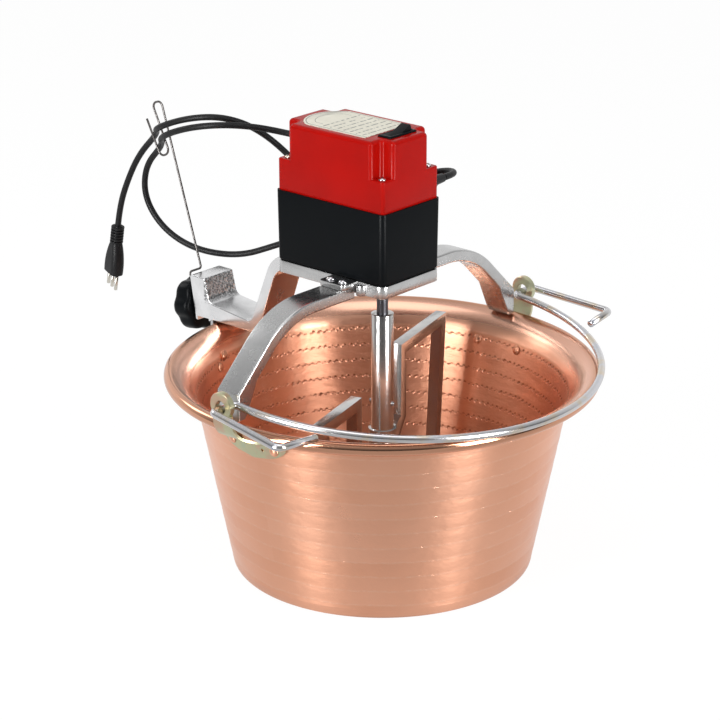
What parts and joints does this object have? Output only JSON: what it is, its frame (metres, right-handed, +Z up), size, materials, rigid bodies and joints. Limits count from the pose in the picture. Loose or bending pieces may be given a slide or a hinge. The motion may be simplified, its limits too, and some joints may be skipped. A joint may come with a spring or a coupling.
{
  "type": "electric polenta maker",
  "caption": "Copper cooking pot with a swinging handle and a lift-off electric motor unit that turns a stirrer.",
  "frame": {"origin": "centre of the pot's flat base", "axes": "+Z up, X through the two ears of the pot, +Y towards the clamp arm"},
  "size_m": [0.5386, 0.6719, 0.4832],
  "materials": {
    "copper": "satin",
    "cast_aluminium": "satin",
    "zinc": "satin",
    "zinc_yellow": "satin",
    "steel": "satin",
    "dark_steel": "satin",
    "red_plastic": "gloss",
    "black_plastic": "satin",
    "black_rubber": "matte",
    "label": "satin",
    "brass": "satin",
    "bronze": "satin",
    "enamelled_copper": "satin",
    "gear_steel": "satin"
  },
  "bodies": {
    "pot": {"pot_shell": "copper", "rim_wire": "steel", "ear_plate_left": "zinc_yellow", "ear_plate_right": "zinc_yellow", "ear_rivets": "copper", "wall_rivets": "copper"},
    "bail": {"bail_rod": "zinc"},
    "motor_unit": {"base_plate": "cast_aluminium", "arm_left": "cast_aluminium", "arm_right": "cast_aluminium", "arm_bolts": "zinc", "clamp_arm": "cast_aluminium", "clamp_bolts": "zinc", "cable_hanger": "zinc", "gearbox_case": "black_plastic", "plate_screws": "zinc", "motor_cover": "red_plastic", "cover_screws": "zinc", "label_plate": "label", "switch_body": "black_plastic", "cable_gland": "black_rubber", "gear_axles": "steel", "gear_plate": "steel", "output_bush": "bronze", "motor_stator": "dark_steel", "motor_coils": "enamelled_copper", "motor_brackets": "steel", "terminal_block": "label", "mains_cord": "black_rubber", "plug_sleeve": "black_rubber", "plug_body": "black_rubber", "plug_pins": "brass"},
    "drive": {"output_wheel": "gear_steel", "output_shaft": "dark_steel", "shaft_clip": "dark_steel", "stirrer": "cast_aluminium", "stirrer_pin": "steel"},
    "second_gear": {"second_gear": "gear_steel"},
    "first_gear": {"first_gear": "gear_steel"},
    "rotor": {"motor_shaft": "steel", "motor_rotor": "dark_steel"},
    "rocker": {"switch_rocker": "black_plastic"},
    "jaw": {"clamp_jaw": "cast_aluminium"},
    "knob": {"clamp_knob": "black_plastic", "clamp_screw": "zinc"}
  },
  "joints": [
    {"name": "bail_swing", "type": "hinge", "parent": "pot", "child": "bail", "pos_m": [0, 0, 0.2412], "axis": [-1, 0, 0], "range_deg": [0, 70]},
    {"name": "unit_lift", "type": "slide", "parent": "pot", "child": "motor_unit", "axis": [0, 0, 1], "range_m": [0, 0.26]},
    {"name": "drive_spin", "type": "hinge", "parent": "motor_unit", "child": "drive", "pos_m": [0, 0, 0.2], "axis": [0, 0, 1], "continuous": true},
    {"name": "second_gear_spin", "type": "hinge", "parent": "motor_unit", "child": "second_gear", "pos_m": [0, 0.033, 0.34], "axis": [0, 0, 1], "continuous": true},
    {"name": "first_gear_spin", "type": "hinge", "parent": "motor_unit", "child": "first_gear", "pos_m": [0, 0.066, 0.35], "axis": [0, 0, 1], "continuous": true},
    {"name": "rotor_spin", "type": "hinge", "parent": "motor_unit", "child": "rotor", "pos_m": [0, 0.033, 0.4], "axis": [0, 0, 1], "continuous": true},
    {"name": "switch_rock", "type": "hinge", "parent": "motor_unit", "child": "rocker", "pos_m": [0, -0.02, 0.474], "axis": [0, 1, 0], "range_deg": [0, 24]},
    {"name": "jaw_slide", "type": "slide", "parent": "motor_unit", "child": "jaw", "axis": [0, 0.9877, -0.1564], "range_m": [0, 0.005]},
    {"name": "knob_turn", "type": "hinge", "parent": "jaw", "child": "knob", "pos_m": [0, 0.25668, 0.2316], "axis": [0, 0.9877, -0.1564], "range_deg": [0, 1440]}
  ],
  "couplings": [
    {"joint": "second_gear_spin", "follows": "drive_spin", "ratio": -4.5},
    {"joint": "first_gear_spin", "follows": "drive_spin", "ratio": 20.25},
    {"joint": "rotor_spin", "follows": "drive_spin", "ratio": -91.125},
    {"joint": "jaw_slide", "follows": "knob_turn", "m_per_rad": 0.00019894}
  ]
}
